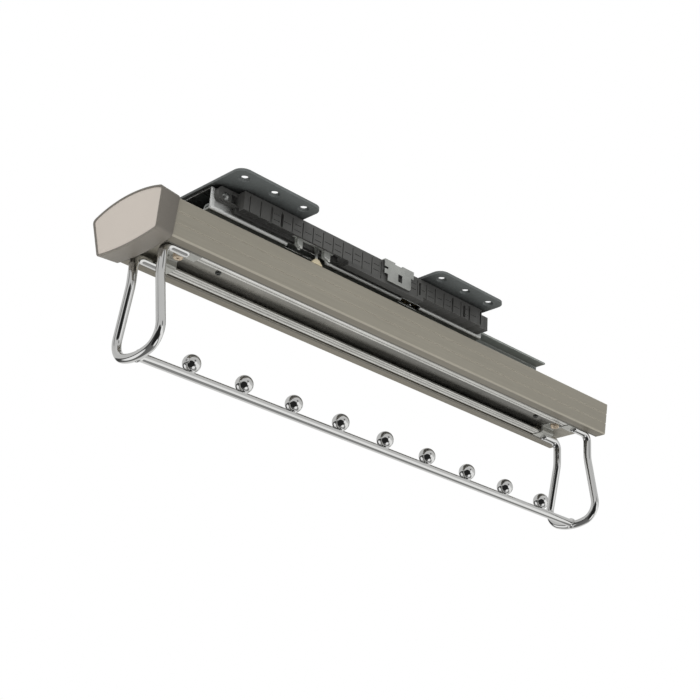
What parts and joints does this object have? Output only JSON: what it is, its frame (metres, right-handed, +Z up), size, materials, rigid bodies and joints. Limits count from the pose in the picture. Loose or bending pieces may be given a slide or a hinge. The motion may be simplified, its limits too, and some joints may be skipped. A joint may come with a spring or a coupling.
{
  "type": "pull-out clothes rail",
  "caption": "Pull-out clothes rail for the underside of a shelf: ball-bearing runner, soft-close unit, channel with end cap and a chrome hanger bar on wire loops.",
  "frame": {"origin": "middle of the mounting plane, on top of the two brackets and halfway between them", "axes": "+Z up to the shelf that it hangs from, +Y to the back of the wardrobe along the rail, +X to the side of the soft-close unit"},
  "size_m": [0.124, 0.5049, 0.139],
  "materials": {
    "bracket_steel": "satin dark grey zinc",
    "galvanised_steel": "matt galvanised",
    "rivet_steel": "satin",
    "housing_plastic": "fine grained",
    "clip_steel": "satin",
    "spring_steel": "satin",
    "catch_plastic": "smooth",
    "cage_steel": "yellow passivated",
    "ball_steel": "polished",
    "yellow_zinc": "yellow passivated",
    "dark_zinc": "satin",
    "anodised_aluminium": "satin anodised, champagne grey",
    "cap_plastic": "fine grained taupe",
    "insert_plastic": "smooth pale taupe",
    "bright_zinc": "satin zinc",
    "chrome_wire": "polished",
    "foot_plastic": "smooth cream"
  },
  "bodies": {
    "mounting": {"front_bracket": "bracket_steel", "rear_bracket": "bracket_steel", "cabinet_rail": "galvanised_steel", "bracket_rivets": "rivet_steel", "damper_housing": "housing_plastic", "housing_rivet": "rivet_steel", "spring_clip": "clip_steel", "damper_cylinder": "clip_steel", "closing_spring": "spring_steel"},
    "catch": {"closing_catch": "catch_plastic", "damper_rod": "spring_steel"},
    "cages": {"ball_cages": "cage_steel", "bearing_balls": "ball_steel"},
    "carriage": {"runner": "galvanised_steel", "runner_screws": "yellow_zinc", "channel": "anodised_aluminium", "front_cap": "cap_plastic", "cap_insert": "insert_plastic", "hanger_track": "bright_zinc", "track_screws": "dark_zinc", "front_end_plate": "bright_zinc", "rear_end_plate": "bright_zinc", "plate_screws": "yellow_zinc", "front_loop": "chrome_wire", "rear_loop": "chrome_wire", "hanger_bar": "chrome_wire", "hanger_knobs": "chrome_wire", "activator_foot": "foot_plastic", "activator_blade": "clip_steel"}
  },
  "joints": [
    {"name": "pull_out", "type": "slide", "parent": "mounting", "child": "carriage", "axis": [0, -1, 0], "range_m": [0, 0.26]},
    {"name": "cage_travel", "type": "slide", "parent": "mounting", "child": "cages", "axis": [0, -1, 0], "range_m": [0, 0.13]},
    {"name": "catch_travel", "type": "slide", "parent": "mounting", "child": "catch", "axis": [0, -1, 0], "range_m": [0, 0.05], "stiffness_N_per_m": 60, "springref_m": -0.03}
  ],
  "couplings": [
    {"joint": "cage_travel", "follows": "pull_out", "ratio": 0.5}
  ]
}
